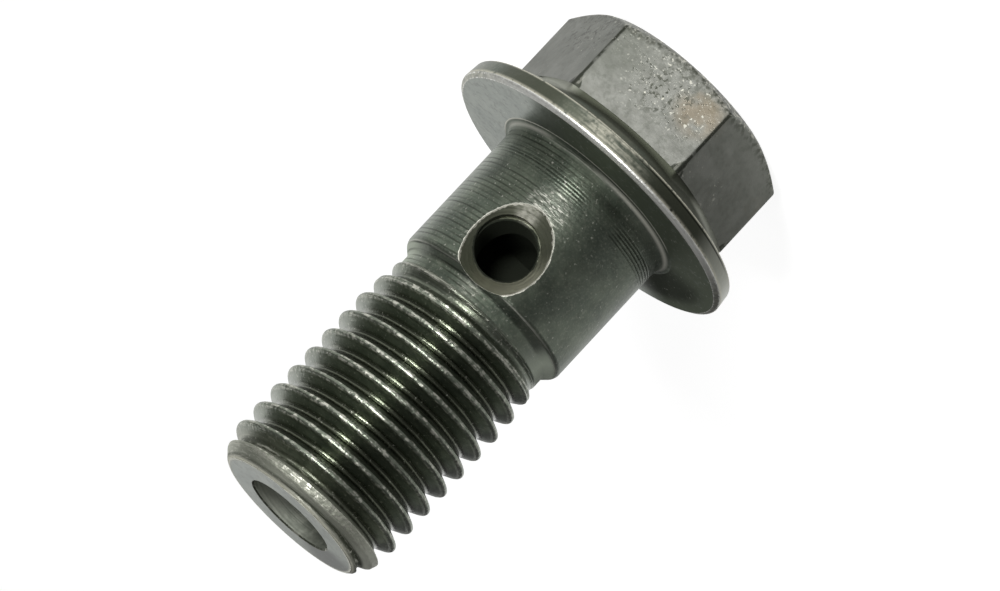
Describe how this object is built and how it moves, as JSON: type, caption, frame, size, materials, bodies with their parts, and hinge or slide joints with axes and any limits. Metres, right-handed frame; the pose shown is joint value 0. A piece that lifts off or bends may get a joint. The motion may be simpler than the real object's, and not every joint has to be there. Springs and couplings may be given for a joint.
{
  "type": "banjo bolt",
  "caption": "Flanged hexagon bolt with a hollow threaded shank and a cross hole that carries fluid into a banjo fitting.",
  "frame": {"origin": "centre of the bearing face under the flange, on the axis of the bolt", "axes": "+Z along the axis, from the head towards the threaded tip; the cross hole opens towards -Y"},
  "size_m": [0.017, 0.017, 0.029],
  "materials": {
    "black_steel": "satin"
  },
  "bodies": {
    "root": {"banjo_bolt": "black_steel"}
  },
  "joints": []
}
